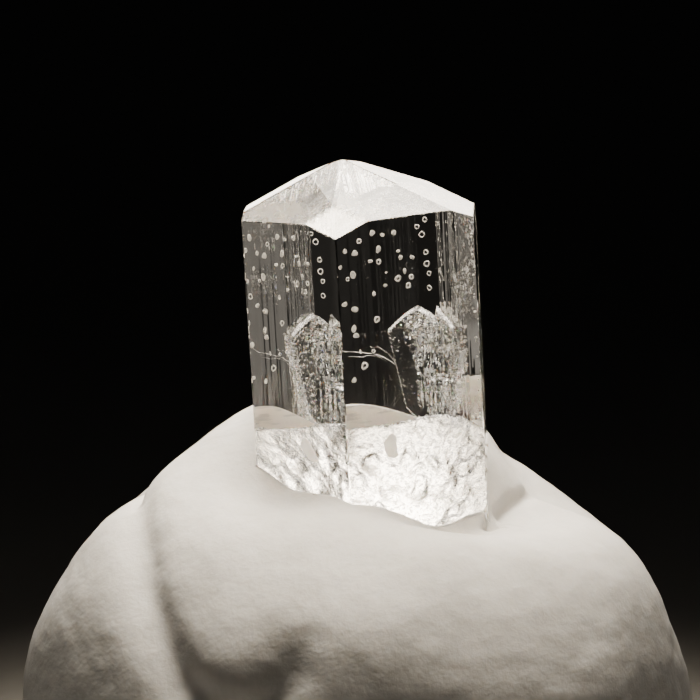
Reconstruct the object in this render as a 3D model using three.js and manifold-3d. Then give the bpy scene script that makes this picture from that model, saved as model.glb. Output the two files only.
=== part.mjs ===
// A clear phenakite crystal standing in a ball of white mounting putty.
// Millimetres, +Z up, origin at the centre of the putty's flat base.
// An azimuth is measured about +Z: 0 looks towards -Y and 90 towards +X.
import * as THREE from 'three';
import { mergeVertices } from 'three/addons/utils/BufferGeometryUtils.js';
import Module from 'manifold-3d';

const wasm = await Module();
wasm.setup();

// Driving dimensions of the crystal, in its own frame: its long axis is Z and its foot is at Z = 0.
const crystalTurn = -3; // degrees, of all its faces about its long axis
const crystalLean = 3.2; // degrees, its head towards -X
const crystalSeat = new THREE.Vector3(0.6, 0, 9); // where the middle of its foot stands in the putty
const shoulderHeight = 10.86; // from the foot to the edge between prism and pyramid
const pyramidDip = 23.8; // degrees from level
const cornerDip = 37.4; // degrees from level, the small rhombohedral facets
const headRoom = 3; // how far the uncut prism stands over the shoulder
// Prism faces in order round the axis: azimuth, distance from the axis, and how far the pyramid
// face above it sits over the shoulder height. The narrow face on the back edge has none.
const prismFaces = [
  { azimuth: -30, distance: 3.7, rise: 0 },
  { azimuth: 30, distance: 3.2, rise: 0 },
  { azimuth: 90, distance: 3.4, rise: -0.28 },
  { azimuth: 150, distance: 3.8, rise: -0.28 },
  { azimuth: 180, distance: 3.95 },
  { azimuth: 210, distance: 3.35, rise: -0.13 },
  { azimuth: 270, distance: 3.3, rise: 0.19 },
];
// Facets that cut every other corner of the head, and how far each reaches below the shoulder.
const cornerFacets = [
  { between: [0, 1], drop: 0.41 },
  { between: [2, 3], drop: 0.9 },
  { between: [5, 6], drop: 0.8 },
];
// Oblique breaks of the foot: azimuth, dip from level, and height where each crosses the axis.
const footBreaks = [
  { azimuth: 60, dip: 7, height: 0.12 },
  { azimuth: 180, dip: 39, height: 1.08 },
  { azimuth: 200, dip: 40, height: 1.4 },
  { azimuth: 245, dip: 19, height: 0.35 },
  { azimuth: 330, dip: 16, height: 0.3 },
];
const footLedge = 3.95; // level ledge that ends the steep breaks at the back

// The contact scar: a coffin-shaped hollow across the back edge, where another crystal grew.
const scarDepth = 0.34;
const scarOutline = [
  [-0.69, 6.83],
  [-0.31, 7.14],
  [0.01, 7.34],
  [0.25, 7.43],
  [0.64, 7.2],
  [0.8, 7.06],
  [0.88, 7.4],
  [1.12, 7.12],
  [1.32, 6.94],
  [1.5, 6.72],
  [1.6, 6.0],
  [1.52, 5.54],
  [1.32, 4.45],
  [1.2, 3.94],
  [0.78, 3.89],
  [0.1, 3.97],
  [-0.05, 4.12],
  [-0.25, 4.37],
]; // X and Z, in the crystal's frame
const scarReach = 3; // how far forwards its outline is sunk, past its floor everywhere
const scarBack = 5.2; // behind the crystal, where the outline starts
const scarHeights = [2, 9]; // lowest and highest of what is left behind the scar
// Upright ridges on its floor, uneven in length and height by two swings of one pace.
const scarRidges = {
  count: 6,
  firstX: -0.3,
  step: 0.34,
  radius: 0.2,
  tip: 0.06,
  sides: 4,
  length: 1.5,
  lengthSwing: 0.4,
  middle: 5.4,
  middleSwing: 0.6,
  pace: 2.4, // radians from one ridge to the next
};

// Driving dimensions of the putty.
const puttyHalf = new THREE.Vector3(10.25, 9.6, 9); // half width, half depth, half height of its ball
const puttyMiddle = 4.5; // height of the ball's middle over the base
const baseRadius = 8.3; // of the flat that it stands on
const baseRings = [0.45, 1]; // rings of the flat, as shares of that radius
const socketGap = 0.1; // between the crystal and its socket
const settle = 3; // height over which the lumps fade out towards the base
const gridAround = 96;
const gridUp = 36;
const lowestRow = -27; // degrees, elevation of the first row above the base

// Lumps and dents, each at an azimuth and elevation seen from the ball's middle, degrees,
// with a spread in degrees and a rise in millimetres.
const lumps = [
  { azimuth: -26, elevation: 28, spread: 12, rise: 0.22 }, // fold end at the front
  { azimuth: -72, elevation: 28, spread: 24, rise: 0.3 },
  { azimuth: 62, elevation: 38, spread: 18, rise: 0.3 },
  { azimuth: 35, elevation: 12, spread: 24, rise: 0.35 },
  { azimuth: 150, elevation: 20, spread: 26, rise: 0.4 },
  { azimuth: -140, elevation: 30, spread: 22, rise: 0.35 },
  { azimuth: -165, elevation: 8, spread: 16, rise: -0.4 },
  { azimuth: -96, elevation: 20, spread: 15, rise: -0.45 },
  { azimuth: -102, elevation: 37, spread: 14, rise: -0.75 },
  { azimuth: -108, elevation: 52, spread: 13, rise: -0.15 },
  { azimuth: -127, elevation: 64, spread: 12, rise: 0.15 },
  { azimuth: -35, elevation: 64, spread: 10, rise: -1.0 }, // slope in front of the crystal
  { azimuth: -12, elevation: 64, spread: 10, rise: -0.2 },
  { azimuth: 8, elevation: 63, spread: 10, rise: -0.55 },
  { azimuth: 28, elevation: 62, spread: 10, rise: -1.25 },
  { azimuth: 46, elevation: 58, spread: 10, rise: -1.35 },
  { azimuth: 66, elevation: 54, spread: 11, rise: -1.35 }, // dent at the crystal's right edge
  { azimuth: 92, elevation: 20, spread: 15, rise: -0.45 },
  { azimuth: 99, elevation: 37, spread: 14, rise: -0.45 },
  { azimuth: 108, elevation: 51, spread: 13, rise: -1.65 },
  { azimuth: 126, elevation: 64, spread: 12, rise: 0.35 }, // lumps behind the crystal
  { azimuth: -155, elevation: 68, spread: 12, rise: 0.55 },
  { azimuth: 2, elevation: 30, spread: 12, rise: 0.3 },
];
// Furrows: stops of azimuth, elevation and depth along a path, and a half width in degrees.
const furrows = [
  {
    path: [
      [-99, 50, 0.2],
      [-80, 48, 0.3],
      [-66, 46, 0.35],
      [-54, 40.5, 0.4],
      [-46, 34, 0.42],
      [-39.5, 28, 0.45],
      [-31, 19, 0.5],
      [-26, 15.5, 0.5],
      [-21, 14.5, 0.5],
      [-16, 16, 0.5],
      [-12, 23, 0.3],
      [-11, 32, 0],
    ],
    width: 4,
  },
  {
    path: [
      [150, 55, 0.4],
      [163, 47, 0.4],
      [172, 37, 0.4],
      [180, 24, 0.4],
    ],
    width: 7,
  },
];

const weld = 1e-4; // vertices nearer than this are one
const radians = THREE.MathUtils.degToRad;
const crystalPose = new THREE.Matrix4()
  .makeRotationY(-radians(crystalLean))
  .setPosition(crystalSeat);

// The unit vector at an azimuth and an elevation above level.
function direction(azimuth, elevation) {
  const across = Math.cos(radians(elevation));
  return new THREE.Vector3(
    Math.sin(radians(azimuth)) * across,
    -Math.cos(radians(azimuth)) * across,
    Math.sin(radians(elevation)),
  );
}

// A closed geometry as a solid for cutting and joining.
function solidOf(geometry) {
  geometry.deleteAttribute('normal');
  geometry.deleteAttribute('uv');
  const merged = mergeVertices(geometry, weld);
  return new wasm.Manifold(
    new wasm.Mesh({
      numProp: 3,
      vertProperties: new Float32Array(merged.attributes.position.array),
      triVerts: new Uint32Array(merged.index.array),
    }),
  );
}

// A solid back as a geometry.
function geometryOf(solid) {
  const mesh = solid.getMesh();
  return new THREE.BufferGeometry()
    .setAttribute('position', new THREE.BufferAttribute(mesh.vertProperties, 3))
    .setIndex(new THREE.BufferAttribute(mesh.triVerts, 1));
}

// A large block that takes away everything beyond the plane through a point.
function blockBeyond(point, normal) {
  const size = 40;
  const block = new THREE.BoxGeometry(size, size, size).translate(0, 0, size / 2);
  const turn = new THREE.Quaternion().setFromUnitVectors(new THREE.Vector3(0, 0, 1), normal);
  block.applyQuaternion(turn).translate(point.x, point.y, point.z);
  return solidOf(block);
}

// The corner where two prism faces meet, with every face moved out by the same distance.
function cornerOf(first, second, grow) {
  const a = direction(first.azimuth + crystalTurn, 0);
  const b = direction(second.azimuth + crystalTurn, 0);
  const da = first.distance + grow;
  const db = second.distance + grow;
  const spin = a.x * b.y - a.y * b.x;
  return new THREE.Vector2((da * b.y - db * a.y) / spin, (db * a.x - da * b.x) / spin);
}

// The prism between two heights.
function prismSolid(low, high, grow) {
  const corners = prismFaces.map((face, i) =>
    cornerOf(face, prismFaces[(i + 1) % prismFaces.length], grow),
  );
  const prism = new THREE.ExtrudeGeometry(new THREE.Shape(corners), {
    depth: high - low,
    bevelEnabled: false,
  });
  return solidOf(prism.translate(0, 0, low));
}

// The prism with its broken foot and no head, grown by a gap where it cuts the socket.
function shaftSolid(high, grow) {
  let shaft = prismSolid(-grow, high, grow);
  for (const { azimuth, dip, height } of footBreaks) {
    const normal = direction(azimuth + crystalTurn, dip - 90);
    const onPlane = new THREE.Vector3(0, 0, height).addScaledVector(normal, grow);
    shaft = shaft.subtract(blockBeyond(onPlane, normal));
  }
  return shaft.add(prismSolid(footLedge - grow, high, grow));
}

// The pyramid faces and the facets on alternate corners.
function cutHead(solid) {
  let cut = solid;
  for (const { azimuth, distance, rise } of prismFaces) {
    if (rise === undefined) continue;
    const edge = direction(azimuth + crystalTurn, 0).multiplyScalar(distance);
    edge.z = shoulderHeight + rise;
    cut = cut.subtract(blockBeyond(edge, direction(azimuth + crystalTurn, 90 - pyramidDip)));
  }
  for (const { between, drop } of cornerFacets) {
    const [first, second] = between.map((i) => prismFaces[i]);
    const corner = cornerOf(first, second, 0);
    const low = new THREE.Vector3(corner.x, corner.y, shoulderHeight - drop);
    const azimuth = (first.azimuth + second.azimuth) / 2 + crystalTurn;
    cut = cut.subtract(blockBeyond(low, direction(azimuth, 90 - cornerDip)));
  }
  return cut;
}

// What the scar takes away: its outline sunk from behind, down to a ridged floor.
function scarSolid() {
  const outline = new THREE.Shape(scarOutline.map(([x, z]) => new THREE.Vector2(x, z)));
  const sunk = new THREE.ExtrudeGeometry(outline, { depth: scarReach, bevelEnabled: false });
  sunk.rotateX(Math.PI / 2).translate(0, scarBack, 0);
  let scar = solidOf(sunk).subtract(prismSolid(...scarHeights, -scarDepth));
  const { count, firstX, step, radius, tip, sides, pace } = scarRidges;
  for (let i = 0; i < count; i++) {
    const x = firstX + i * step;
    const length = scarRidges.length + scarRidges.lengthSwing * Math.sin(i * pace);
    const middle = scarRidges.middle + scarRidges.middleSwing * Math.cos(i * pace);
    const ridge = new THREE.CylinderGeometry(tip, radius, length, sides);
    ridge.rotateX(Math.PI / 2).translate(x, floorBehind(x), middle);
    scar = scar.subtract(solidOf(ridge));
  }
  return scar;
}

// How far back the scar's floor lies at X, the nearest of the faces that it crosses.
function floorBehind(x) {
  const backFaces = prismFaces.slice(3, 6);
  return Math.min(
    ...backFaces.map(({ azimuth, distance }) => {
      const normal = direction(azimuth + crystalTurn, 0);
      return (distance - scarDepth - normal.x * x) / normal.y;
    }),
  );
}

function crystalGeometry() {
  const solid = cutHead(shaftSolid(shoulderHeight + headRoom, 0)).subtract(scarSolid());
  return geometryOf(solid).toNonIndexed().applyMatrix4(crystalPose);
}

// How far a furrow sinks the surface at a direction, from the nearest stretch of its path.
function furrowDepth({ path, width }, towards) {
  let apart = Infinity;
  let deep = 0;
  const nearest = new THREE.Vector3();
  for (let i = 1; i < path.length; i++) {
    const [start, end] = [path[i - 1], path[i]];
    const stretch = new THREE.Line3(direction(start[0], start[1]), direction(end[0], end[1]));
    const along = stretch.closestPointToPointParameter(towards, true);
    const distance = stretch.at(along, nearest).distanceTo(towards);
    if (distance < apart) {
      apart = distance;
      deep = THREE.MathUtils.lerp(start[2], end[2], along);
    }
  }
  return deep * Math.exp(-((apart / radians(width)) ** 2));
}

// How far the putty's surface stands out at a direction from the ball's middle.
function puttyRise(towards) {
  let rise = 0;
  for (const lump of lumps) {
    const apart = towards.angleTo(direction(lump.azimuth, lump.elevation));
    rise += lump.rise * Math.exp(-((apart / radians(lump.spread)) ** 2));
  }
  for (const furrow of furrows) rise -= furrowDepth(furrow, towards);
  return rise;
}

// A point of the putty's outside at an azimuth and an elevation seen from the ball's middle.
function puttyPoint(azimuth, elevation) {
  const towards = direction(azimuth, elevation);
  const point = towards.clone().multiply(puttyHalf);
  const height = point.z + puttyMiddle;
  const rise = puttyRise(towards) * THREE.MathUtils.smoothstep(height, 0, settle);
  point.addScaledVector(point.clone().normalize(), rise);
  point.z += puttyMiddle;
  return point;
}

// The ball as one closed grid: the flat base, then rings up to the top.
function puttyBall() {
  const rings = [];
  const ring = (make) => rings.push(Array.from({ length: gridAround }, (_, i) => make(i)));
  const turnAt = (i) => (360 * i) / gridAround;
  for (const share of baseRings) {
    ring((i) => direction(turnAt(i), 0).multiplyScalar(baseRadius * share));
  }
  for (let row = 0; row < gridUp; row++) {
    const elevation = lowestRow + ((90 - lowestRow) * row) / gridUp;
    ring((i) => puttyPoint(turnAt(i), elevation));
  }
  const points = [new THREE.Vector3(), ...rings.flat(), puttyPoint(0, 90)];
  const top = points.length - 1;
  const faces = [];
  for (let i = 0; i < gridAround; i++) {
    const next = (i + 1) % gridAround;
    faces.push(0, 1 + next, 1 + i);
    for (let row = 0; row < rings.length - 1; row++) {
      const low = 1 + row * gridAround;
      const high = low + gridAround;
      faces.push(low + i, low + next, high + next, low + i, high + next, high + i);
    }
    const last = top - gridAround;
    faces.push(last + i, last + next, top);
  }
  return new THREE.BufferGeometry().setFromPoints(points).setIndex(faces);
}

function puttyGeometry() {
  const socket = geometryOf(shaftSolid(shoulderHeight, socketGap)).applyMatrix4(crystalPose);
  return geometryOf(solidOf(puttyBall()).subtract(solidOf(socket)));
}

function namedMesh(name, geometry, material) {
  geometry.computeVertexNormals();
  const mesh = new THREE.Mesh(geometry, material);
  mesh.name = name;
  return mesh;
}

const clearCrystal = new THREE.MeshStandardMaterial({
  color: 0xf4f6f6,
  roughness: 0.03,
  metalness: 0,
  transparent: true,
  opacity: 0.35,
});
const whitePutty = new THREE.MeshStandardMaterial({ color: 0xd8d3cb, roughness: 0.75, metalness: 0 });

const part = new THREE.Group();
part.add(namedMesh('crystal', crystalGeometry(), clearCrystal));
part.add(namedMesh('putty', puttyGeometry(), whitePutty));

export default part;
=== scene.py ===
import math

import bpy
import numpy as np
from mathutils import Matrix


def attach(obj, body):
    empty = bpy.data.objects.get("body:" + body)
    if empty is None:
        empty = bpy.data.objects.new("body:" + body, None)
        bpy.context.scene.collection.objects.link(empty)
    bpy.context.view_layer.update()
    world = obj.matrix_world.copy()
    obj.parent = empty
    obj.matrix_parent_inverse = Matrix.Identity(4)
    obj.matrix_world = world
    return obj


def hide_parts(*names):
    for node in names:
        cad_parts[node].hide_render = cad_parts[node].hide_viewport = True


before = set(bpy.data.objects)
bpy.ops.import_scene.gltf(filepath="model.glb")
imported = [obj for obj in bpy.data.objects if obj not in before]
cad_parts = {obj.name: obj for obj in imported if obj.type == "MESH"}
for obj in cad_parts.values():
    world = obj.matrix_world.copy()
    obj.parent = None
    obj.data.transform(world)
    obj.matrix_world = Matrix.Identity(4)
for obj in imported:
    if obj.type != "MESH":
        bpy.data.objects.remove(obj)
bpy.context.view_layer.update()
mm = 0.001  # metres

print("frame loaded")


def unitVector(azimuth, elevation=0.0):
    a, e = np.radians(azimuth), np.radians(elevation)
    return np.array([np.sin(a) * np.cos(e), -np.cos(a) * np.cos(e), np.sin(e)])


# Value noise from -1 to 1: random numbers on a cubic lattice, with scale steps to the mm, blended
# with a smooth step between the corners.
def latticeNoise(points, scale, seed):
    size, origin = 32, 100.0  # steps before the lattice repeats, and the place of 0 on it
    table = np.random.default_rng(seed).random((size, size, size))
    p = np.asarray(points) * np.asarray(scale) + origin
    base = np.floor(p).astype(int)
    f = p - base
    f = f * f * (3 - 2 * f)
    total = 0.0
    for corner in range(8):
        step = np.array([corner & 1, corner >> 1 & 1, corner >> 2 & 1])
        weight = np.prod(np.where(step, f, 1 - f), axis=-1)
        i, j, k = np.moveaxis((base + step) % size, -1, 0)
        total = total + weight * table[i, j, k]
    return total * 2 - 1


# The sum of octaves of value noise, each half as strong and twice as fine as the last, over their
# whole strength.
def cloudNoise(points, scale, seed, octaves=3):
    scale = np.asarray(scale)
    total = sum(latticeNoise(points, scale * 2**n, seed + n) / 2**n for n in range(octaves))
    return total / (2 - 2 / 2**octaves)


def smoothStep(x, low, high):
    t = np.clip((x - low) / (high - low), 0, 1)
    return t * t * (3 - 2 * t)


# Signed distance to a closed outline, positive inside: the nearest edge, with the side from how many
# edges a level line to the right crosses.
def insideDistance(x, z, outline):
    corners = np.array(outline)
    nearest = np.full(x.shape, np.inf)
    inside = np.zeros(x.shape, bool)
    for (ax, az), (bx, bz) in zip(corners, np.roll(corners, -1, axis=0)):
        dx, dz = bx - ax, bz - az
        t = np.clip(((x - ax) * dx + (z - az) * dz) / (dx * dx + dz * dz), 0, 1)
        nearest = np.minimum(nearest, np.hypot(x - ax - t * dx, z - az - t * dz))
        crosses = (az > z) != (bz > z)
        inside ^= crosses & (x < ax + (z - az) * dx / (dz if dz else 1e-9))
    return np.where(inside, nearest, -nearest)


# A mesh object at the origin, from points in mm and a list of faces.
def addMesh(name, points, faces, smooth=False):
    mesh = bpy.data.meshes.new(name)
    mesh.from_pydata(points * mm, [], faces)
    mesh.polygons.foreach_set("use_smooth", np.full(len(mesh.polygons), smooth))
    mesh.update()
    piece = bpy.data.objects.new(name, mesh)
    bpy.context.collection.objects.link(piece)
    return piece


# A grid of points, rows by columns, closed round the columns, with a pole at each end.
def closedGrid(name, points, lowPole, highPole, smooth=False):
    rows, columns = points.shape[:2]
    at = np.arange(rows * columns).reshape(rows, columns)
    right = np.roll(at, -1, axis=1)
    quads = np.stack([at[:-1], right[:-1], right[1:], at[1:]], axis=-1).reshape(-1, 4)
    low = np.stack([right[0], at[0], np.full(columns, rows * columns)], axis=-1)
    high = np.stack([at[-1], right[-1], np.full(columns, rows * columns + 1)], axis=-1)
    points = np.vstack([points.reshape(-1, 3), [lowPole], [highPole]])
    return addMesh(name, points, quads.tolist() + low.tolist() + high.tolist(), smooth)


# Many small grids as one mesh: patches by rows by columns, closed round the columns, with a lid at
# each end.
def manyPatches(name, points):
    at = np.arange(points[..., 0].size).reshape(points.shape[:3])
    right = np.roll(at, -1, axis=2)
    quads = np.stack([at[:, :-1], right[:, :-1], right[:, 1:], at[:, 1:]], axis=-1).reshape(-1, 4)
    lids = [ring.tolist() for ring in at[:, -1]] + [ring[::-1].tolist() for ring in at[:, 0]]
    return addMesh(name, points.reshape(-1, 3), quads.tolist() + lids)


# Many small hoops as one mesh: hoops by rows by columns, closed both ways.
def manyHoops(name, points):
    at = np.arange(points[..., 0].size).reshape(points.shape[:3])
    right, up = np.roll(at, -1, axis=2), np.roll(at, -1, axis=1)
    quads = np.stack([at, right, np.roll(right, -1, axis=1), up], axis=-1).reshape(-1, 4)
    return addMesh(name, points.reshape(-1, 3), quads.tolist())


def addValues(piece, name, values):
    layer = piece.data.attributes.new(name, "FLOAT", "POINT")
    layer.data.foreach_set("value", np.asarray(values, dtype=np.float32))


# Spots on the plane Z = 0 as points, for noise.
def flatSpots(xy):
    return np.concatenate([xy, xy[..., :1] * 0], axis=-1)


# Azimuth 0 looks towards -Y and 90 towards +X. The crystal has its own frame: its long axis is Z and
# its foot is at Z = 0.
crystal = {
    "turn": -3.0,  # degrees, all faces about the long axis
    "lean": 3.2,  # degrees, head towards -X
    "seat": (0.6, 0.0, 9.0),  # mm, middle of the foot
    "shoulder": 10.86,  # mm, edge between prism and pyramid
    "pyramidDip": 23.8,  # degrees from level
    "cornerDip": 37.4,
    # azimuth, distance from the axis, pyramid face over the shoulder (None: no pyramid face),
    # columns, and strength of the growth lines; lengths in mm
    "faces": [
        (-30, 3.70, 0.0, 14, 0.0),
        (30, 3.20, 0.0, 14, 0.0),
        (90, 3.40, -0.28, 34, 0.0050),
        (150, 3.80, -0.28, 74, 0.0026),
        (180, 3.95, None, 32, 0.0010),
        (210, 3.35, -0.13, 94, 0.0036),
        (270, 3.30, 0.19, 34, 0.0040),
    ],
    "scarFaces": (3, 4, 5),
    # columns crowd where the scar is: at this share of a face's columns, this share of its width
    "crowding": {3: (0.38, 0.6), 5: (0.52, 0.34)},
    # the two faces that a corner facet lies between, and how far it reaches below the shoulder in mm
    "cornerFacets": [(0, 1, 0.41), (2, 3, 0.9), (5, 6, 0.8)],
    # azimuth, dip and height on the axis of each break of the foot
    "footBreaks": [(60, 7, 0.12), (180, 39, 1.08), (200, 40, 1.4), (245, 19, 0.35), (330, 16, 0.3)],
    "footTop": 3.95,  # mm, a level ledge where the breaks at the back would run out higher
    "chamfer": 0.022,  # mm, worn vertical edges
    "shoulderWear": 0.02,  # mm, worn edge under the head
    "ridgeSoftness": 0.008,  # mm, worn ridges of the head
    "lineSpan": 9,  # columns, swings wider than this are taken out of the growth lines
    "peak": (-0.42, -0.3),  # X and Y that the rings of the head close round
    "footRings": 56,
    "firstFootRing": 0.02,  # share of the way out from the middle of the foot
    # from and to share of the wall's height, and rows
    "wallRows": [(0.0, 0.33, 44), (0.33, 0.72, 96), (0.72, 1.0, 40)],
    "headRings": 46,
    "headReach": (0.006, 0.985),  # shares of the way in from the edge of the head to its peak
    "lineUnevenness": (0.6, 0.4),  # mean and swing of the growth lines' strength along them
    "footEtch": 0.5,  # how etched the broken foot is, where 1 is frosted
    "wornEtch": 0.8,  # the same for the patches high on the right of the back
    "wornX": (1.2, 1.7),  # X and Z over which those patches begin
    "wornZ": (6.4, 8.0),
}

leanAngle = math.radians(crystal["lean"])
leanMatrix = np.array([
    [math.cos(leanAngle), 0, -math.sin(leanAngle)],
    [0, 1, 0],
    [math.sin(leanAngle), 0, math.cos(leanAngle)],
])


def toWorld(points):
    return points @ leanMatrix.T + np.array(crystal["seat"])


def toCrystal(points):
    return (points - np.array(crystal["seat"])) @ leanMatrix


def faceNormal(index):
    return unitVector(crystal["faces"][index][0] + crystal["turn"])


# Where the planes of two neighbouring prism faces meet, on the level.
def faceCorner(first, second):
    normals = np.array([faceNormal(first)[:2], faceNormal(second)[:2]])
    return np.linalg.solve(normals, [crystal["faces"][first][1], crystal["faces"][second][1]])


# The section as one row of columns, with the outward normal of each one's face and the face's number:
# each face runs from corner to corner, short of both by the chamfer.
def sectionColumns(counts, chamfer=0.0):
    spots, owners = [], []
    total = len(crystal["faces"])
    for index, count in enumerate(counts):
        start = faceCorner((index - 1) % total, index)
        end = faceCorner(index, (index + 1) % total)
        along = (end - start) / np.linalg.norm(end - start)
        atColumn, atWidth = crystal["crowding"].get(index, (0.5, 0.5))
        share = np.interp(np.linspace(0, 1, count), [0, atColumn, 1], [0, atWidth, 1])[:, None]
        spots.append((start + along * chamfer) * (1 - share) + (end - along * chamfer) * share)
        owners.append(np.full(count, index))
    owner = np.concatenate(owners)
    return np.vstack(spots), np.array([faceNormal(i) for i in range(total)])[owner], owner


# Height over a spot of a plane through a point.
def planeHeight(xy, normal, point):
    return (normal @ point - xy @ normal[:2]) / normal[2]


# Height of the head over a spot: the lowest of its planes, rounded a little where two meet.
def headHeight(xy):
    heights = []
    for index, (azimuth, distance, rise, *_) in enumerate(crystal["faces"]):
        if rise is None:
            continue
        normal = unitVector(azimuth + crystal["turn"], 90 - crystal["pyramidDip"])
        edge = faceNormal(index) * distance + np.array([0, 0, crystal["shoulder"] + rise])
        heights.append(planeHeight(xy, normal, edge))
    for first, second, drop in crystal["cornerFacets"]:
        azimuth = (crystal["faces"][first][0] + crystal["faces"][second][0]) / 2 + crystal["turn"]
        normal = unitVector(azimuth, 90 - crystal["cornerDip"])
        corner = np.append(faceCorner(first, second), crystal["shoulder"] - drop)
        heights.append(planeHeight(xy, normal, corner))
    heights = np.stack(heights)
    lowest, soft = heights.min(axis=0), crystal["ridgeSoftness"]
    return lowest - soft * np.log(np.exp((lowest - heights) / soft).sum(axis=0))


# Height of the foot over a spot: the highest of its breaks, up to the level ledge.
def footHeight(xy):
    heights = [np.zeros(xy.shape[:-1])]
    for azimuth, dip, height in crystal["footBreaks"]:
        normal = unitVector(azimuth + crystal["turn"], dip - 90)
        heights.append(planeHeight(xy, normal, np.array([0, 0, height])))
    return np.minimum(np.stack(heights).max(axis=0), crystal["footTop"])


shells = {
    "count": 170,
    "reach": 4,  # mm, how far from the axis their middles lie
    "lift": 0.1,  # mm, the most that a middle is raised
    "falloff": (0.2, 0.65),  # per mm, how fast a dome falls off round its middle
    "bend": 0.28,  # mm, how far their outlines are bent
    "softness": 0.014,  # mm, worn edges between them
    "base": 0.06,  # mm, how high they all stand
    "fine": (0.03, 0.04),  # mm, fine unevenness at the left, and how much more at the right
    "fineFrom": (0.0, 2.2),  # X over which it grows
    "steps": 0.04,  # mm
}


# Shell-shaped hollows of the broken foot, in mm up into the crystal: domes round scattered middles,
# bent by noise, the highest one counting at each spot (a soft maximum), with steps and a fine
# unevenness on top.
def footShells(xy):
    rng = np.random.default_rng(23)
    spot = flatSpots(xy)
    bend = [latticeNoise(spot, (1.9, 1.9, 1), seed) for seed in (27, 28)]
    bent = xy + shells["bend"] * np.stack(bend, axis=-1)
    total = np.ones(xy.shape[:-1])
    for _ in range(shells["count"]):
        middle = rng.uniform(-shells["reach"], shells["reach"], 2)
        lift = rng.uniform(0.0, shells["lift"])
        apart = ((bent - middle) ** 2).sum(axis=-1)
        total += np.exp((lift - rng.uniform(*shells["falloff"]) * apart) / shells["softness"])
    hollow = shells["softness"] * np.log(total)
    fine = shells["fine"][0] + shells["fine"][1] * smoothStep(xy[..., 0], *shells["fineFrom"])
    hollow = hollow + fine * cloudNoise(spot, (5.0, 4.0, 1), 22)
    return hollow + shells["steps"] * cloudNoise(spot, (1.4, 3.0, 1), 24) + shells["base"]


scar = {
    "depth": 0.34,  # mm
    "leastDepth": 0.06,
    "wall": 0.05,  # mm, how wide its side walls are
    "outline": [
        (-0.69, 6.83), (-0.31, 7.14), (0.01, 7.34), (0.25, 7.43), (0.64, 7.2), (0.8, 7.06), (0.88, 7.4),
        (1.12, 7.12), (1.32, 6.94), (1.5, 6.72), (1.6, 6.0), (1.52, 5.54), (1.32, 4.45), (1.2, 3.94),
        (0.78, 3.89), (0.1, 3.97), (-0.05, 4.12), (-0.25, 4.37),
    ],  # X and Z in the crystal's frame
    # lumps per mm across and up, seed and octaves of each noise
    "noises": {
        "drift": (2.0, 2.0, 10, 1),
        "crumbleEdge": (3, 3, 16, 1),
        "dots": (19, 17, 11, 1),
        "grain": (14, 12, 12, 1),
        "blades": (4.2, 0.8, 13, 3),
        "fineBlades": (9, 2.2, 14, 1),
        "crumbs": (5, 5, 15, 3),
        "fineCrumbs": (10, 10, 17, 1),
        "streaks": (11, 2.6, 18, 1),
        "fineStreaks": (14, 9, 20, 1),
        "frost": (18, 18, 19, 1),
    },
    # mm, how far each of them moves the floor in or out
    "dotRise": 0.012, "grainRise": 0.010, "bladeRise": 0.13, "fineBladeRise": 0.09,
    "crumbRise": 0.12, "fineCrumbRise": 0.07, "ledgeRise": 0.16,
    # height at X = 1 mm, slope, half width, share of the rise, and the X where it starts and is full
    "ledges": [(5.2, -0.1, 0.07, 1.0, 0.6, 0.9), (6.05, 0.25, 0.06, 0.7, 0.9, 1.1)],
    # X over which the smooth left part gives way to blades, and how that border leans, the Z that it
    # leans about and how far it wavers in mm
    "bladedFrom": (0.0, 0.35),
    "border": (0.0875, 5.5, 0.0625),
    # Z over which the top starts to crumble, how far that wavers in mm, the share of it that the left
    # has, and the X over which it becomes full
    "crumbledFrom": (6.3, 6.8),
    "crumbleWaver": 0.3,
    "crumbledLeft": 0.25,
    "crumbleFull": (-0.3, 0.2),
    # noise values between which a dot, a streak or frost begins and is full
    "dotRange": (0.3, 0.7),
    "streakRange": (-0.15, 0.15),
    "frostRange": (-0.1, 0.5),
    # how etched the floor is, and how much more on each of these
    "etch": {"floor": 0.17, "dots": 0.15, "blades": 0.1, "streaks": 0.6, "crumbs": 0.3},
    "rim": (0.02, 0.035, 0.9),  # place inside the outline and half width in mm, and how etched
    "frostPatch": (-0.65, 5.2, 0.3, 0.7, 0.35),  # X, Z and half widths in mm, and how etched
}


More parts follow.
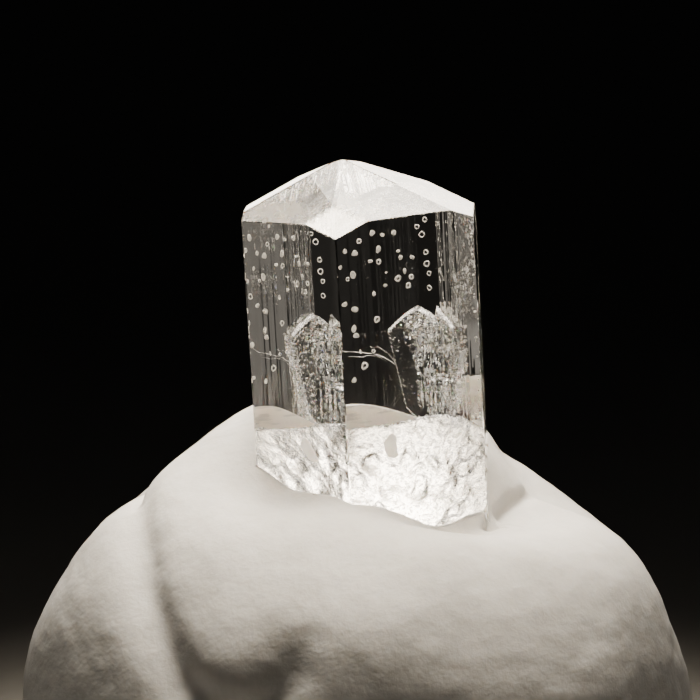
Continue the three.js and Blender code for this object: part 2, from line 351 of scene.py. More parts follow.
# How deep the scar sinks at a spot of the back, and how etched it is there: its outline with steep
# walls; a smooth floor with fine grains on the left, upright blades in the middle and on the right,
# a crumbled top and two ledges across the right side; a rough rim, and frost on the face beside it.
def scarSink(x, z):
    edge = insideDistance(x, z, scar["outline"])
    mask = smoothStep(edge, 0.0, scar["wall"])
    spot = np.stack([x, z, x * 0], axis=-1)
    noise = {key: cloudNoise(spot, (across, up, 1), seed, octaves)
             for key, (across, up, seed, octaves) in scar["noises"].items()}
    slope, turnsAt, waver = scar["border"]
    bladed = smoothStep(x + slope * (z - turnsAt) + waver * noise["drift"], *scar["bladedFrom"])
    crumbled = smoothStep(z + scar["crumbleWaver"] * noise["crumbleEdge"], *scar["crumbledFrom"])
    left = scar["crumbledLeft"]
    crumbled = crumbled * (left + (1 - left) * smoothStep(x, *scar["crumbleFull"]))
    dots = smoothStep(noise["dots"], *scar["dotRange"])
    ledge = 0.0
    for height, slope, halfWidth, amount, start, full in scar["ledges"]:
        bell = np.exp(-(((z - height - slope * (x - 1)) / halfWidth) ** 2))
        ledge = ledge + amount * bell * smoothStep(x, start, full)
    grain = scar["dotRise"] * dots + scar["grainRise"] * noise["grain"]
    blades = scar["bladeRise"] * noise["blades"] + scar["fineBladeRise"] * noise["fineBlades"]
    crumbs = scar["crumbRise"] * noise["crumbs"] + scar["fineCrumbRise"] * noise["fineCrumbs"]
    bladeFloor = (1 - crumbled) * blades - scar["ledgeRise"] * ledge
    floor = scar["depth"] + grain + bladed * bladeFloor + crumbled * crumbs
    streaks = smoothStep(noise["streaks"] + 0.5 * noise["fineStreaks"], *scar["streakRange"])
    etch = scar["etch"]
    etched = etch["floor"] + bladed * (etch["blades"] + etch["streaks"] * streaks)
    etched = etched + (1 - bladed) * (etch["dots"] * dots + etch["crumbs"] * crumbled)
    patchX, patchZ, halfX, halfZ, patchEtch = scar["frostPatch"]
    frost = np.exp(-(((x - patchX) / halfX) ** 2) - ((z - patchZ) / halfZ) ** 2)
    frost = patchEtch * frost * smoothStep(noise["frost"], *scar["frostRange"])
    rimPlace, rimWidth, rimEtch = scar["rim"]
    rim = rimEtch * np.exp(-(((edge - rimPlace) / rimWidth) ** 2))
    sink = mask * np.maximum(floor, scar["leastDepth"])
    return sink, np.maximum(mask * etched + (1 - mask) * frost, rim)


# Upright growth lines, one step in or out for each column: a random walk less its running mean.
def growthLines(columns):
    lines = np.cumsum(np.random.default_rng(31).normal(0, 1, columns))
    span, half = crystal["lineSpan"], crystal["lineSpan"] // 2
    mean = np.convolve(np.r_[lines[-half:], lines, lines[:half]], np.ones(span) / span, "valid")
    return lines - mean


# Rows by columns: up the broken foot from its middle, up the prism walls, then in over the head.
def makeCrystal():
    section, normals, owner = sectionColumns([face[3] for face in crystal["faces"]], crystal["chamfer"])
    peak = np.array(crystal["peak"])

    outward = np.linspace(crystal["firstFootRing"], 1, crystal["footRings"], endpoint=False)[:, None]
    footSpots = section * outward[..., None]
    # the hollows get shallower towards the middle and the edge
    fade = np.sin(np.pi * np.clip(outward, 0.0, 0.985)) ** 0.4
    footZ = footHeight(footSpots) + footShells(footSpots) * fade
    foot = np.concatenate([footSpots, footZ[..., None]], axis=-1)

    low = footHeight(section)
    top = headHeight(section) - crystal["shoulderWear"]
    share = np.concatenate([np.linspace(start, end, rows, endpoint=end == 1)
                            for start, end, rows in crystal["wallRows"]])[:, None]
    z = low + (top - low) * share
    walls = np.concatenate([np.broadcast_to(section, z.shape + (2,)), z[..., None]], axis=-1)
    atBack = np.isin(owner, crystal["scarFaces"])
    sink, etched = scarSink(walls[..., 0], z)
    walls[..., 1] -= sink * atBack
    strength = np.array([face[4] for face in crystal["faces"]])[owner]
    mean, swing = crystal["lineUnevenness"]
    uneven = mean + swing * latticeNoise(walls * (1, 1, 0.35), 0.8, 33)
    walls[..., :2] += (growthLines(len(owner)) * strength * uneven)[..., None] * normals[:, :2]
    # etched patches high on the right of the back
    worn = smoothStep(walls[..., 0], *crystal["wornX"]) * smoothStep(z, *crystal["wornZ"])
    worn = worn * (walls[..., 1] > 0) * smoothStep(cloudNoise(walls, (2.4, 2.4, 1.5), 35), -0.3, 0.3)
    wallEtch = np.maximum(etched * atBack, crystal["wornEtch"] * worn)

    inward = np.linspace(*crystal["headReach"], crystal["headRings"])[:, None, None]
    headSpots = peak + (section - peak) * (1 - inward)
    head = np.concatenate([headSpots, headHeight(headSpots)[..., None]], axis=-1)

    footPole = np.append([0, 0], footHeight(np.zeros((1, 2))))
    headPole = np.append(peak, headHeight(peak[None]))
    grid = toWorld(np.concatenate([foot, walls, head]))
    piece = closedGrid("crystal_clear", grid, toWorld(footPole), toWorld(headPole))
    smoothFaces = np.zeros(len(piece.data.polygons), bool)
    smoothFaces[:(len(foot) - 1) * len(owner)] = True  # the broken foot curves, the faces are flat
    piece.data.polygons.foreach_set("use_smooth", smoothFaces)
    footEtch, headEtch = np.full(footZ.size, crystal["footEtch"]), np.zeros(headSpots[..., 0].size + 2)
    addValues(piece, "etched", np.concatenate([footEtch, wallEtch.ravel(), headEtch]))
    return piece


crystalPiece = makeCrystal()
print("crystal made:", len(crystalPiece.data.polygons), "faces")

putty = {
    "half": (10.25, 9.6, 9.0),  # mm, half width, half depth, half height of the ball
    "middle": 4.5,  # mm, height of its middle
    "baseRadius": 8.3,
    "settle": 3.0,  # mm, height over which the lumps fade out
    "lowestRow": -27.0,  # degrees
    "columns": [70, 66, 62, 66, 20, 60, 72],  # one count for each face of the crystal
    "azimuthHeight": 3.2,  # mm over the foot, where the azimuths of the columns are read off the crystal
    "contactRange": (35.0, 86.0),  # degrees, elevations that the contact line lies between
    "halvings": 26,
    "baseRows": 6,
    "firstBaseRing": 0.12,  # share of the base's radius
    "ballRows": 120,
    "wallRows": 93,
    "floorRows": 22,
    "lastFloorRing": 0.03,  # share of the section
    "floorShrink": 0.995,  # keeps the floor's rings off the socket's wall
    "closing": 0.25,  # how much closer the ball's rows lie at the crystal than on average
    "baseEdge": (0.985, 0.985, 0.35),  # times the ball's lowest row: rounds the edge of the base
    # azimuth, elevation, spread in degrees and rise in mm
    "lumps": [
        (-26, 28, 12, 0.22), (-72, 28, 24, 0.3), (62, 38, 18, 0.3), (35, 12, 24, 0.35),
        (150, 20, 26, 0.4), (-140, 30, 22, 0.35), (-165, 8, 16, -0.4), (-96, 20, 15, -0.45),
        (-102, 37, 14, -0.75), (-108, 52, 13, -0.15), (-127, 64, 12, 0.15), (-35, 64, 10, -1.0),
        (-12, 64, 10, -0.2), (8, 63, 10, -0.55), (28, 62, 10, -1.25), (46, 58, 10, -1.35),
        (66, 54, 11, -1.35), (92, 20, 15, -0.45), (99, 37, 14, -0.45), (108, 51, 13, -1.65),
        (126, 64, 12, 0.35), (-155, 68, 12, 0.55), (2, 30, 12, 0.3),
    ],
    # path of azimuth, elevation and depth in mm, and the half width in degrees
    "furrows": [
        ([(-99, 50, 0.2), (-80, 48, 0.3), (-66, 46, 0.35), (-54, 40.5, 0.4), (-46, 34, 0.42),
          (-39.5, 28, 0.45), (-31, 19, 0.5), (-26, 15.5, 0.5), (-21, 14.5, 0.5), (-16, 16, 0.5),
          (-12, 23, 0.3), (-11, 32, 0.0)], 4),
        ([(150, 55, 0.4), (163, 47, 0.4), (172, 37, 0.4), (180, 24, 0.4)], 7),
    ],
    "creases": [
        ([(60, 57, 0.4), (66, 57, 0.4), (73, 57, 0.4), (80, 56, 0.4), (87, 55, 0.3)], 1.6),
        ([(-104, 55, 0.22), (-96, 50, 0.22), (-84, 48, 0.22), (-74, 47, 0.1)], 1.3),
    ],
    "unevenness": (0.10, 0.04),  # mm, coarse and fine, left by the fingers
    "contact": 0.014,  # mm, how far the socket presses into the clear crystal, so that it wets it
    "standOff": 0.05,  # mm, how far it stands off where it doesn't wet it
    "wetFrom": -0.12,  # smear from which the socket wets the crystal
    "collar": (-0.75, -0.5),  # mm from the contact line: above this range it nearly always wets it
    "collarStrength": 0.9,  # what that adds to the smear
    "streakStrength": 1.4,
    "dryStreaks": (0.25, 0.5),  # streak values over which the smear is lost
    "streakLoss": 0.9,  # what the smear loses there
    "lightLossStreaks": (0.0, 0.6),  # streak values over which the painted light of the socket is lost
    "streakLightLoss": 0.9,  # share of it that is lost there
    "floorGap": 0.05,  # mm, between the foot and the socket's floor
    "floorRise": (-0.02, 0.2),  # mm, mean and swing of the floor's unevenness
    "floorEdge": 0.07,  # share of the way in over which that unevenness begins
}


# How far a furrow sinks each direction: a bell-shaped section about the nearest stretch of its path,
# with the depth going evenly from stop to stop.
def furrowDepth(towards, path, width):
    nearest = np.full(towards.shape[:-1], np.inf)
    deep = np.zeros(nearest.shape)
    for start, end in zip(path[:-1], path[1:]):
        origin = unitVector(start[0], start[1])
        line = unitVector(end[0], end[1]) - origin
        t = np.clip((towards - origin) @ line / (line @ line), 0, 1)
        apart = np.linalg.norm(towards - origin - t[..., None] * line, axis=-1)
        deep = np.where(apart < nearest, start[2] + (end[2] - start[2]) * t, deep)
        nearest = np.minimum(nearest, apart)
    return deep * np.exp(-((nearest / math.radians(width)) ** 2))


# The ball's surface at a direction: an ellipsoid, plus bell-shaped lumps, minus furrows of the same
# section along their paths, plus hand-rolled unevenness in two sizes of noise.
def puttySurface(azimuth, elevation):
    a, e = np.radians(azimuth), np.radians(elevation)
    towards = np.stack([np.sin(a) * np.cos(e), -np.cos(a) * np.cos(e), np.sin(e)], axis=-1)
    point = towards * np.array(putty["half"])
    height = point[..., 2] + putty["middle"]
    rise = np.zeros(height.shape)
    for lumpAzimuth, lumpElevation, spread, amount in putty["lumps"]:
        apart = np.arccos(np.clip(towards @ unitVector(lumpAzimuth, lumpElevation), -1, 1))
        rise += amount * np.exp(-((apart / math.radians(spread)) ** 2))
    for path, width in putty["furrows"] + putty["creases"]:
        rise -= furrowDepth(towards, path, width)
    coarse, fine = putty["unevenness"]
    rise += coarse * latticeNoise(point, 0.45, 41) + fine * cloudNoise(point, 1.6, 43)
    rise *= smoothStep(height, 0, putty["settle"])
    point = point + point / np.linalg.norm(point, axis=-1, keepdims=True) * rise[..., None]
    point[..., 2] += putty["middle"]
    return point


def levelDirections(azimuth):
    a = np.radians(azimuth)
    return np.stack([np.sin(a), -np.cos(a), 0 * a], axis=-1)


# Distance from the ball's axis to the crystal's wall, at an azimuth and a height: the nearest of the
# face planes that a level line outwards meets.
def wallRadius(azimuth, height):
    out = levelDirections(azimuth) @ leanMatrix
    start = toCrystal(np.stack([0 * height, 0 * height, height], axis=-1))
    radii = []
    for index, face in enumerate(crystal["faces"]):
        normal = faceNormal(index)
        slope = out @ normal
        met = slope > 1e-6
        radii.append(np.where(met, (face[1] - start @ normal) / np.where(met, slope, 1), np.inf))
    return np.min(radii, axis=0)


# Elevation at each azimuth where the ball meets the crystal, found by halving the range that holds it.
def contactElevation(azimuth):
    low, high = (np.full(len(azimuth), limit) for limit in putty["contactRange"])
    for _ in range(putty["halvings"]):
        middle = (low + high) / 2
        point = puttySurface(azimuth, middle)
        outside = np.hypot(point[:, 0], point[:, 1]) > wallRadius(azimuth, point[:, 2])
        low, high = np.where(outside, middle, low), np.where(outside, high, middle)
    return (low + high) / 2


# Rows by columns: out over the flat base, up the ball to the line where it meets the crystal, down
# the socket wall and in over the socket floor.
def makePutty():
    section, normals, _ = sectionColumns(putty["columns"])
    keep = np.ones(len(section), bool)
    keep[np.append(0, np.cumsum(putty["columns"])[:-1])] = False  # a corner is shared by two faces
    section, normals = section[keep], normals[keep]
    meeting = toWorld(np.column_stack([section, np.full(len(section), putty["azimuthHeight"])]))
    azimuth = np.degrees(np.arctan2(meeting[:, 0], -meeting[:, 1]))

    base = np.linspace(putty["firstBaseRing"], 1, putty["baseRows"])[:, None]
    baseRows = levelDirections(azimuth) * (base * putty["baseRadius"])[..., None]

    share = np.linspace(0, 1, putty["ballRows"])[:, None]
    share = share * (1 + putty["closing"] - putty["closing"] * share)
    elevation = putty["lowestRow"] + (contactElevation(azimuth) - putty["lowestRow"]) * share
    ballRows = puttySurface(np.broadcast_to(azimuth, elevation.shape), elevation)
    edgeRow = ballRows[:1] * putty["baseEdge"]

    # The socket in the crystal's frame, from the contact line down to just under the foot. Its wall
    # wets the crystal in smeared patches, with level streaks between them.
    top = toCrystal(ballRows[-1])[:, 2]
    down = np.linspace(0, 1, putty["wallRows"] + 1)[1:, None]
    z = top + (footHeight(section) - putty["floorGap"] - top) * down
    wall = np.concatenate([np.broadcast_to(section, z.shape + (2,)), z[..., None]], axis=-1)
    collar = putty["collarStrength"] * smoothStep(z - top, *putty["collar"])
    streaks = putty["streakStrength"] * cloudNoise(wall, (1.5, 1.5, 9.0), 52)
    loss = putty["streakLoss"] * smoothStep(streaks, *putty["dryStreaks"])
    smear = cloudNoise(wall, (0.9, 0.9, 2.6), 51) + collar - loss
    offset = np.where(smear > putty["wetFrom"], -putty["contact"], putty["standOff"])
    wall = wall + normals * offset[..., None]

    floorShare = np.linspace(1, putty["lastFloorRing"], putty["floorRows"])[:, None, None]
    floorSpots = section * (putty["floorShrink"] * floorShare)
    mean, swing = putty["floorRise"]
    uneven = mean + swing * latticeNoise(flatSpots(floorSpots), (1.7, 0.9, 1), 55)
    uneven = uneven * smoothStep(1 - floorShare[..., 0], 0.0, putty["floorEdge"])
    floorZ = footHeight(floorSpots) - putty["floorGap"] + uneven
    floor = np.concatenate([floorSpots, floorZ[..., None]], axis=-1)
    floorPole = np.append([0, 0], floorZ[-1].mean())

    grid = np.concatenate([baseRows, edgeRow, ballRows, toWorld(wall), toWorld(floor)])
    piece = closedGrid("putty_ball", grid, (0, 0, 0), toWorld(floorPole), smooth=True)
    # painted light: 1 in the socket, where the putty is made lighter for the light that the crystal
    # carries down onto it, less in the streaks of its wall, 0 outside
    outside = np.zeros((len(grid) - len(wall) - len(floor), len(section)))
    # painted light of the socket, taken out in part in the streaks
    paintedLight = 1 - putty["streakLightLoss"] * smoothStep(streaks, *putty["lightLossStreaks"])
    socketLight = np.concatenate([outside, paintedLight, np.ones(floorZ.shape)])
    addValues(piece, "socketLight", np.append(socketLight.ravel(), [0.0, 1.0]))
    return piece


puttyPiece = makePutty()
print("putty made:", len(puttyPiece.data.polygons), "faces")

specks = {
    # X, Z and half width in mm of each speck on the back-left face, in the crystal's frame
    "places": [
        (-1.4, 9.65, 0.09), (-1.85, 9.4, 0.09), (-1.55, 9.3, 0.12), (-1.0, 9.85, 0.10),
        (-0.7, 9.75, 0.09), (-0.35, 9.75, 0.11), (-0.85, 9.3, 0.12), (-1.1, 9.0, 0.08),
        (-0.85, 8.95, 0.10), (-0.25, 9.2, 0.10), (-0.2, 9.0, 0.09), (0.15, 8.95, 0.08),
        (-2.0, 8.95, 0.09), (-1.65, 8.65, 0.12), (-1.8, 8.55, 0.07), (-0.65, 8.6, 0.05),
        (-0.3, 8.35, 0.12), (-0.1, 8.55, 0.10), (0.1, 8.35, 0.10), (0.0, 8.1, 0.10),
        (-0.7, 8.2, 0.07), (-1.05, 8.0, 0.08), (-1.95, 7.8, 0.10), (-1.65, 7.6, 0.10),
        (-1.0, 7.2, 0.11), (-1.7, 7.05, 0.12), (-1.65, 6.8, 0.12), (-1.55, 6.3, 0.06),
        (-1.15, 6.25, 0.07), (-1.45, 5.85, 0.12), (-1.8, 5.45, 0.10), (-2.5, 9.75, 0.13),
        (-2.75, 9.4, 0.13), (-2.55, 8.3, 0.14), (-2.8, 8.5, 0.10), (-2.7, 7.5, 0.13),
        (-2.45, 6.95, 0.14), (-2.75, 6.9, 0.11), (-2.3, 5.6, 0.12), (-2.6, 6.2, 0.11),
        (-2.3, 9.5, 0.13), (-2.35, 8.6, 0.14), (-2.2, 8.1, 0.12), (-2.4, 7.3, 0.14),
        (-2.25, 6.6, 0.12), (-2.6, 9.0, 0.13), (-2.65, 7.9, 0.11), (-2.1, 9.9, 0.13),
        (-1.3, 10.2, 0.07),
    ],
    "size": 0.8,  # times those half widths
    "speckFace": 5,
    # the same on the narrow back face, where they are thin rings
    "rings": [
        (0.35, 9.85, 0.07), (0.5, 9.6, 0.10), (0.62, 10.05, 0.08), (0.6, 9.05, 0.09), (0.6, 8.7, 0.10),
        (0.67, 8.4, 0.08), (0.65, 7.95, 0.08),
    ],
    "ringFace": 4,
    "outside": 0.035,  # mm, how far a speck stands out
    "inside": 0.016,  # mm, how far it is sunk in
    # radius as a share of the half width, height as a share of outside or inside, from the middle below
    "domeProfile": [(0.3, -0.8), (0.85, -1.0), (1.0, -0.2), (0.8, 0.6), (0.35, 1.0)],
    "domeWaviness": 0.38,
    "ringWaviness": 0.2,
    "ringRadius": 0.8,  # share of the half width, out to the middle of the hoop's section
    "ringShare": 0.4,  # share of the specks on the back-left face that are open rings
    "ringThickness": (0.34, 0.2),  # share of the half width, on the back-left and the narrow back face
    "chipGlints": 16,  # painted glints: bright white chips along the right front edge, for the sparkle of that edge
    "chipFace": 1,
    "chipX": 3.21,
    "chipZ": (3.6, 10.2),
    "chipShift": 0.25,  # mm, the most that one is moved up or down
    "chipWidth": (0.02, 0.05),  # mm, half width
}


# Places of flat spots on one face: the point at X and Z on the face, its outward normal and the
# level direction along it.
def onFace(faceIndex, x, z):
    normal = faceNormal(faceIndex)
    y = (crystal["faces"][faceIndex][1] - normal[0] * x) / normal[1]
    return np.stack([x, y, z], axis=-1)[:, None, None, :], normal, np.array([normal[1], -normal[0], 0])


# A wavy outline for each of many spots: 1 plus low-passed random numbers, closed round the spokes.
def wavyOutline(rng, count, spokes, strength):
    rough = rng.uniform(-1, 1, (count, spokes))
    return 1 + strength * (0.6 * rough + 0.4 * (np.roll(rough, 1, axis=1) + np.roll(rough, -1, axis=1)))


# Each speck is a low dome closed below: rings round its middle, wavy in outline, from sunk in to
# standing out.
def makeDomes(name, faceIndex, places, rng, spokes=12, stretch=0.25):
    places = np.asarray(places)
    turn = np.linspace(0, 2 * np.pi, spokes, endpoint=False)
    wave = wavyOutline(rng, len(places), spokes, specks["domeWaviness"])
    profile = np.array(specks["domeProfile"])
    reach = places[:, 2, None, None] * profile[:, 0, None] * wave[:, None, :]
    height = profile[:, 1] * np.where(profile[:, 1] < 0, specks["inside"], specks["outside"])
    middle, normal, along = onFace(faceIndex, places[:, 0], places[:, 1])
    wide = 1 + rng.uniform(-stretch, stretch, (len(places), 1, 1))
    points = (middle + (reach * np.cos(turn) * wide)[..., None] * along
              + (reach * np.sin(turn) / wide)[..., None] * np.array([0, 0, 1])
              + height[None, :, None, None] * normal)
    return manyPatches(name, toWorld(points))


# Each ring is a wavy hoop of oval section: the hoop runs round the columns, its section round the rows.
def makeHoops(name, faceIndex, places, rng, thickness, spokes=16, sides=5):
    places = np.asarray(places)
    turn = np.linspace(0, 2 * np.pi, spokes, endpoint=False)
    wave = wavyOutline(rng, len(places), spokes, specks["ringWaviness"])
    across = np.linspace(0, 2 * np.pi, sides, endpoint=False)
    share = specks["ringRadius"] * wave[:, None, :] + thickness * np.cos(across)[:, None]
    radius = places[:, 2, None, None] * share
    middleHeight = 0.5 * (specks["outside"] - specks["inside"])
    height = middleHeight + 0.5 * (specks["outside"] + specks["inside"]) * np.sin(across)
    middle, normal, along = onFace(faceIndex, places[:, 0], places[:, 1])
    points = (middle + (radius * np.cos(turn))[..., None] * along
              + (radius * np.sin(turn))[..., None] * np.array([0, 0, 1])
              + height[None, :, None, None] * normal)
    return manyHoops(name, toWorld(points))


crack = {
    # X and Z on the back-left face of each strand, and its width in mm
    "strands": [
        ([(-2.25, 6.52), (-2.0, 6.37), (-1.6, 6.28), (-1.2, 6.2), (-0.85, 6.02), (-0.55, 5.75)], 0.030),
        ([(-1.25, 6.42), (-1.0, 6.33), (-0.75, 6.15), (-0.6, 5.95), (-0.5, 5.7)], 0.022),
        ([(-1.9, 6.2), (-1.5, 6.14), (-1.1, 6.1), (-0.8, 5.9)], 0.014),
    ],
    "stations": 70,
    "waver": 0.03,  # mm, up and down
    "widthShare": (0.55, 0.45),  # mean and swing of its width
    # corners of its section: share of the width upwards, and mm outwards
    "section": [(0, -0.006), (0.5, 0.004), (0, 0.012), (-0.5, 0.004)],
}


# Each strand is a thin four-sided ribbon along its path, its height and width wavering with noise.
def makeCrack():
    strands = []
    for number, (path, width) in enumerate(crack["strands"]):
        path = np.array(path)
        station = np.linspace(0, len(path) - 1, crack["stations"])
        x = np.interp(station, range(len(path)), path[:, 0])
        z = np.interp(station, range(len(path)), path[:, 1])
        spot = np.stack([x, z, x * 0 + number], axis=-1)
        z = z + crack["waver"] * latticeNoise(spot, 6.0, 71)
        mean, swing = crack["widthShare"]
        wide = width * (mean + swing * latticeNoise(spot, 9.0, 73))
        middle, normal, _ = onFace(specks["speckFace"], x, z)
        up = wide[:, None] * np.array([0, 0, 1])
        corners = [middle[:, 0, 0] + up * side + normal * out for side, out in crack["section"]]
        strands.append(np.stack(corners, axis=1))
    return manyPatches("crystal_crack", toWorld(np.array(strands)))


def makeSpecks():
    rng = np.random.default_rng(61)
    places = np.array(specks["places"]) * (1, 1, specks["size"])
    isRing = rng.random(len(places)) < specks["ringShare"]
    count = specks["chipGlints"]
    shift = rng.uniform(-specks["chipShift"], specks["chipShift"], count)
    chipZ = np.linspace(*specks["chipZ"], count) + shift
    chipWidth = rng.uniform(*specks["chipWidth"], count)
    chipGlints = np.column_stack([np.full(count, specks["chipX"]), chipZ, chipWidth])
    thick, thin = specks["ringThickness"]
    return [
        makeDomes("crystal_specks", specks["speckFace"], places[~isRing], rng),
        makeHoops("crystal_rings", specks["speckFace"], places[isRing], rng, thick),
        makeHoops("crystal_fine_rings", specks["ringFace"], specks["rings"], rng, thin),
        # painted glints: white domes for the sparkle along the right front edge
        makeDomes("crystal_chip_glints", specks["chipFace"], chipGlints, rng, spokes=7, stretch=0.4),
        makeCrack(),
    ]


whitePieces = makeSpecks()
print("specks and crack made")


def newMaterial(name):
    material = bpy.data.materials.new(name)
    material.use_nodes = True
    nodes = material.node_tree.nodes
    return material, nodes, material.node_tree.links, nodes["Principled BSDF"]


# A node with its sockets, or where it has no such socket its settings, given by name.
def addNode(nodes, kind, **settings):
    node = nodes.new(kind)
    for key, value in settings.items():
        if key in node.inputs:
            node.inputs[key].default_value = value
        else:
            setattr(node, key, value)
    return node


# Fine grain: two noises on Object coordinates, put out as one height from 0 to 1.
def grainGroup():
    group = bpy.data.node_groups.new("fineGrain", "ShaderNodeTree")
    for socket, scale in (("Coarse", 900.0), ("Fine", 4000.0)):  # both in lumps per metre
        made = group.interface.new_socket(name=socket, in_out="INPUT", socket_type="NodeSocketFloat")
        made.default_value = scale
    group.interface.new_socket(name="Height", in_out="OUTPUT", socket_type="NodeSocketFloat")
    nodes, links = group.nodes, group.links
    inputs = nodes.new("NodeGroupInput")
    output = nodes.new("NodeGroupOutput")
    place = nodes.new("ShaderNodeTexCoord")
    coarse = addNode(nodes, "ShaderNodeTexNoise", Detail=4.0, Roughness=0.6)
    fine = addNode(nodes, "ShaderNodeTexNoise", Detail=6.0, Roughness=0.65)
    for noise, socket in ((coarse, "Coarse"), (fine, "Fine")):
        links.new(place.outputs["Object"], noise.inputs["Vector"])
        links.new(inputs.outputs[socket], noise.inputs["Scale"])
    mix = addNode(nodes, "ShaderNodeMix", data_type="FLOAT", Factor=0.35)
    links.new(coarse.outputs["Fac"], mix.inputs["A"])
    links.new(fine.outputs["Fac"], mix.inputs["B"])
    links.new(mix.outputs[0], output.inputs["Height"])
    return group


fineGrain = grainGroup()


def placeGrain(nodes, scales):
    coarse, fine = scales
    return addNode(nodes, "ShaderNodeGroup", node_tree=fineGrain, Coarse=coarse, Fine=fine)


# A colour ramp of two stops, each a place from 0 to 1 and a colour, over the grain's height.
def grainColour(nodes, links, grain, stops):
    ramp = nodes.new("ShaderNodeValToRGB")
    for element, (position, colour) in zip(ramp.color_ramp.elements, stops):
        element.position, element.color = position, colour
    links.new(grain.outputs["Height"], ramp.inputs["Fac"])
    return ramp


clearLook = {
    "ior": 1.66,
    "roughest": 0.55,  # roughness where the attribute is 1
    "grain": (7000.0, 14000.0),  # lumps per metre
    # flecks: grain heights from and to, and what they multiply the roughness by
    "flecks": {"From Min": 0.5, "From Max": 0.58, "To Min": 0.15, "To Max": 1.9},
    "relief": 0.00004,  # m
}
puttyLook = {
    "grain": (700.0, 5000.0),
    "colours": [(0.3, (0.58, 0.57, 0.555, 1)), (0.7, (0.72, 0.71, 0.70, 1))],
    "socketPaintedLight": (0.99, 0.95, 0.90, 1),  # painted light: lighter putty inside the socket, for the light that the crystal carries down onto it
    "roughness": 0.62,
    "ior": 1.45,
    "bump": {"Strength": 0.6, "Distance": 0.0001},
    "subsurface": {"Weight": 0.25, "Radius": (1.0, 0.8, 0.6), "Scale": 0.0006},
}
speckLook = {
    "grain": (9000.0, 30000.0),
    "colours": [(0.35, (0.72, 0.70, 0.66, 1)), (0.65, (0.95, 0.94, 0.92, 1))],
    "roughness": 0.5,
    "subsurface": {"Weight": 1.0, "Radius": (1.0, 1.0, 1.0), "Scale": 0.00006},
}


def setSubsurface(shader, values):
    for key, value in values.items():
        shader.inputs["Subsurface " + key].default_value = value


# Clear where the etched attribute is 0; where it isn't, rough in flecks, with a fine relief.
def clearMaterial():
    material, nodes, links, shader = newMaterial("clearPhenakite")
    shader.inputs["Base Color"].default_value = (1.0, 1.0, 1.0, 1.0)
    shader.inputs["Transmission Weight"].default_value = 1.0
    shader.inputs["IOR"].default_value = clearLook["ior"]
    etched = addNode(nodes, "ShaderNodeAttribute", attribute_name="etched")
    rough = addNode(nodes, "ShaderNodeMapRange", **{"To Min": 0.0, "To Max": clearLook["roughest"]})
    links.new(etched.outputs["Fac"], rough.inputs["Value"])
    grain = placeGrain(nodes, clearLook["grain"])
    flecks = addNode(nodes, "ShaderNodeMapRange", **clearLook["flecks"])
    links.new(grain.outputs["Height"], flecks.inputs["Value"])
    flecked = addNode(nodes, "ShaderNodeMath", operation="MULTIPLY")
    links.new(rough.outputs["Result"], flecked.inputs[0])
    links.new(flecks.outputs["Result"], flecked.inputs[1])
    links.new(flecked.outputs["Value"], shader.inputs["Roughness"])
    bump = addNode(nodes, "ShaderNodeBump", Distance=clearLook["relief"])
    links.new(etched.outputs["Fac"], bump.inputs["Strength"])
    links.new(grain.outputs["Height"], bump.inputs["Height"])
    links.new(bump.outputs["Normal"], shader.inputs["Normal"])
    return material


# Mottled white with a matt grain, turning to a lighter white in the socket, where its attribute is 1:
# painted light, for the light that the crystal carries down onto it.
def puttyMaterial():
    material, nodes, links, shader = newMaterial("whitePutty")
    grain = placeGrain(nodes, puttyLook["grain"])
    colour = grainColour(nodes, links, grain, puttyLook["colours"])
    socketLight = addNode(nodes, "ShaderNodeAttribute", attribute_name="socketLight")
    socketLightMix = addNode(nodes, "ShaderNodeMix", data_type="RGBA")
    # painted light: the lighter white that the socket's putty gets
    socketLightMix.inputs[7].default_value = puttyLook["socketPaintedLight"]  # the colour B
    links.new(socketLight.outputs["Fac"], socketLightMix.inputs["Factor"])
    links.new(colour.outputs["Color"], socketLightMix.inputs[6])  # the colour A
    links.new(socketLightMix.outputs[2], shader.inputs["Base Color"])
    bump = addNode(nodes, "ShaderNodeBump", **puttyLook["bump"])
    links.new(grain.outputs["Height"], bump.inputs["Height"])
    links.new(bump.outputs["Normal"], shader.inputs["Normal"])
    shader.inputs["Roughness"].default_value = puttyLook["roughness"]
    shader.inputs["IOR"].default_value = puttyLook["ior"]
    setSubsurface(shader, puttyLook["subsurface"])
    return material


# Milky white, the light passing a little way under the surface.
def speckMaterial():
    material, nodes, links, shader = newMaterial("whiteSpecks")
    grain = placeGrain(nodes, speckLook["grain"])
    colour = grainColour(nodes, links, grain, speckLook["colours"])
    links.new(colour.outputs["Color"], shader.inputs["Base Color"])
    shader.inputs["Roughness"].default_value = speckLook["roughness"]
    setSubsurface(shader, speckLook["subsurface"])
    return material


crystalPiece.data.materials.append(clearMaterial())
puttyPiece.data.materials.append(puttyMaterial())
speckWhite = speckMaterial()
for piece in whitePieces:
    piece.data.materials.append(speckWhite)
    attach(piece, "root")
for piece, slotName in ((crystalPiece, "clear_crystal"), (puttyPiece, "white_putty")):
    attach(piece, "root")
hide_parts("crystal")
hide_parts("putty")
print("materials set")

stage = {
    "floorRadius": 400.0,  # mm
    "floorColour": (0.36, 0.355, 0.345, 1),
    "floorRoughness": 0.8,
    "lightColour": (1.0, 0.905, 0.77),
    "capLightColour": (1.0, 0.86, 0.66),
    "worldColour": (0.004, 0.004, 0.004, 1),
    "lens": 154.3,  # mm, on a sensor of this width
    "sensor": 36,
    "clip": (0.001, 10),  # m
    "cameraElevation": 11.5,
    "cameraDistance": 90.0,  # mm, from the point that it looks at
    "cameraAim": (-0.285, 0, 15.4),
}


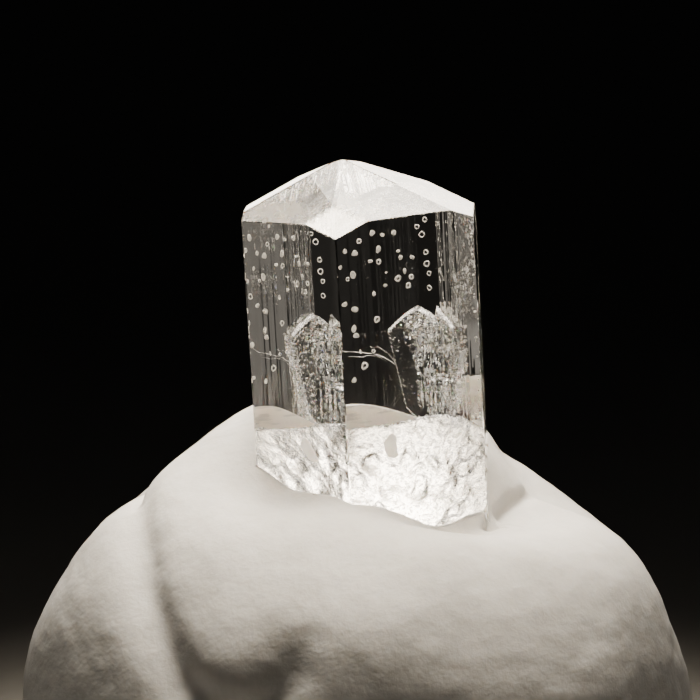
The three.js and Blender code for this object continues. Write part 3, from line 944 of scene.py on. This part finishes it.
# A flat disc: one ring of points round the origin.
def makeFloor():
    turn = np.linspace(0, 2 * np.pi, 96, endpoint=False)
    ring = np.stack([np.cos(turn), np.sin(turn), 0 * turn], axis=-1) * stage["floorRadius"]
    floor = addMesh("floor", ring, [list(range(len(turn)))])
    material, _, _, shader = newMaterial("paleFloor")
    shader.inputs["Base Color"].default_value = stage["floorColour"]
    shader.inputs["Roughness"].default_value = stage["floorRoughness"]
    floor.data.materials.append(material)


def makeWorld():
    world = bpy.data.worlds.new("studio")
    world.use_nodes = True
    world.node_tree.nodes["Background"].inputs["Color"].default_value = stage["worldColour"]
    bpy.context.scene.world = world


# A round soft light that faces a point: the azimuth and elevation that it is seen at from there and
# its spread in degrees, its distance and width in mm, its power in watts.
def softLight(name, azimuth, elevation, distance, width, power, spread=180, target=(0, 0, 14),
              colour="lightColour"):
    light = bpy.data.lights.new(name, "AREA")
    light.shape = "DISK"
    light.size = width * mm
    light.energy = power
    light.spread = math.radians(spread)
    light.color = stage[colour]
    lamp = bpy.data.objects.new(name, light)
    outwards = unitVector(azimuth, elevation)
    lamp.location = (np.array(target) + outwards * distance) * mm
    lamp.rotation_euler = (math.acos(outwards[2]), 0, math.atan2(-outwards[0], outwards[1]) + math.pi)
    bpy.context.collection.objects.link(lamp)
    lamp.visible_camera = False


makeFloor()
makeWorld()
softLight("backLight", 180, 52, 36, 20, 0.0012, spread=44)
softLight("backLeftLight", 212, 62, 34, 18, 0.0007, spread=44)
softLight("backRightLight", 148, 62, 34, 18, 0.0007, spread=44)
softLight("topLight", 180, 84, 28, 24, 0.0015, spread=38)
# close over the head: it fills the cap and the broken foot, and falls off over the putty
softLight("capLight", 0, 90, 9, 13, 0.0036, spread=72, target=(0, 0, 22), colour="capLightColour")
softLight("leftEdgeLight", 190, 6, 59, 10, 0.00014, spread=40)
softLight("rightEdgeLight", 170, 15, 60, 10, 0.00014, spread=40)
softLight("frontLeftLight", -66, 0, 50, 28, 0.0005)
softLight("frontRightLight", 54, 4, 70, 38, 0.0005)


def makeCamera():
    camera = bpy.data.cameras.new("camera")
    camera.lens = stage["lens"]
    camera.sensor_width = stage["sensor"]
    camera.clip_start, camera.clip_end = stage["clip"]
    holder = bpy.data.objects.new("camera", camera)
    back = unitVector(0, stage["cameraElevation"]) * stage["cameraDistance"]
    holder.location = (np.array(stage["cameraAim"]) + back) * mm
    holder.rotation_euler = (math.radians(90 - stage["cameraElevation"]), 0, 0)
    bpy.context.collection.objects.link(holder)
    bpy.context.scene.camera = holder


makeCamera()
print("stage, lights and camera set")
